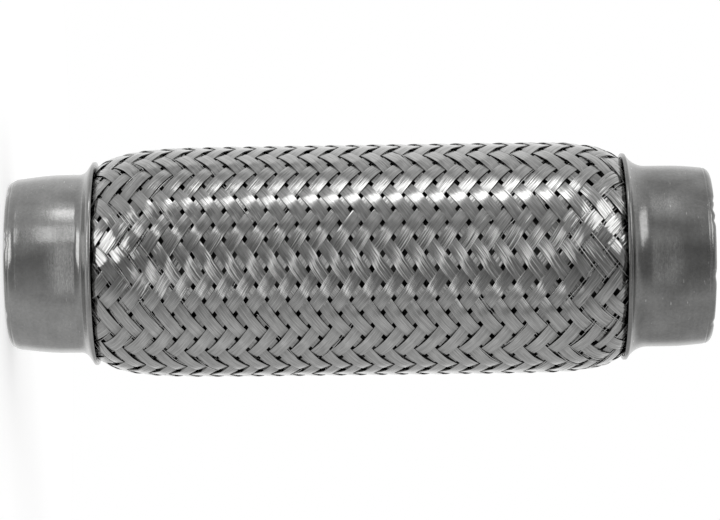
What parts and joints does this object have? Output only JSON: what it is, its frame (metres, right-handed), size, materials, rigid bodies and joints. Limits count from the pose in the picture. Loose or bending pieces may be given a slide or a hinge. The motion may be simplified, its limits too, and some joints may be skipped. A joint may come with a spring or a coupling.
{
  "type": "exhaust flex pipe",
  "caption": "Flexible exhaust coupling: a barrel of woven steel wire over a corrugated tube and wound liner, held between two flared sheet end caps.",
  "frame": {"origin": "centre of the lower end ring, where the pipe stands", "axes": "+Z along the pipe's axis, from the lower end cap to the upper one; X and Y across it"},
  "size_m": [0.0666, 0.0666, 0.2],
  "materials": {
    "cap_sheet": "satin drawn stainless sheet",
    "braid_wire": "bright woven stainless wire",
    "bellows_sheet": "thin formed stainless sheet",
    "liner_strip": "wound stainless strip"
  },
  "bodies": {
    "root": {"lower_end_cap": "cap_sheet", "upper_end_cap": "cap_sheet", "outer_braid": "braid_wire", "bellows": "bellows_sheet", "interlock_liner": "liner_strip", "lower_liner_sleeve": "liner_strip", "upper_liner_sleeve": "liner_strip"}
  },
  "joints": []
}
